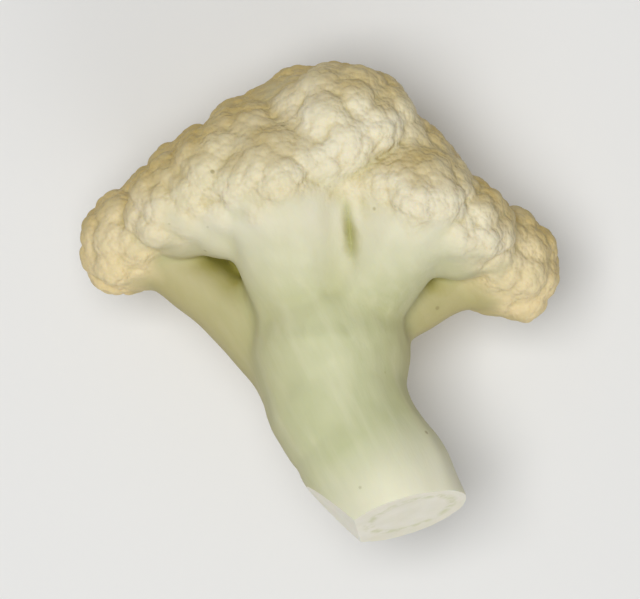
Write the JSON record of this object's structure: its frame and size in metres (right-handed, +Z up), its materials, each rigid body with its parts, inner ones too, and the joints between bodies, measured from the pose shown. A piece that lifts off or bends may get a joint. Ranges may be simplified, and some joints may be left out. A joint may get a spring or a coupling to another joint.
{
  "type": "cauliflower floret",
  "caption": "Cauliflower floret lying on its side: a thick pale stem, cut flat at its end, forks into branches that end in crowded lobes of creamy curd.",
  "frame": {"origin": "centre of the box's base, on the surface that the floret lies on", "axes": "+Z up from that surface, through the floret's thickness; +Y from the cut end of the stem towards the crown of the curd; +X to the right with the crown away from the viewer"},
  "size_m": [0.0414, 0.0414, 0.0296],
  "materials": {
    "curd_and_stem": "matte granular cream curd, smooth pale green-white stem, whiter cut faces"
  },
  "bodies": {
    "root": {"floret": "curd_and_stem"}
  },
  "joints": []
}
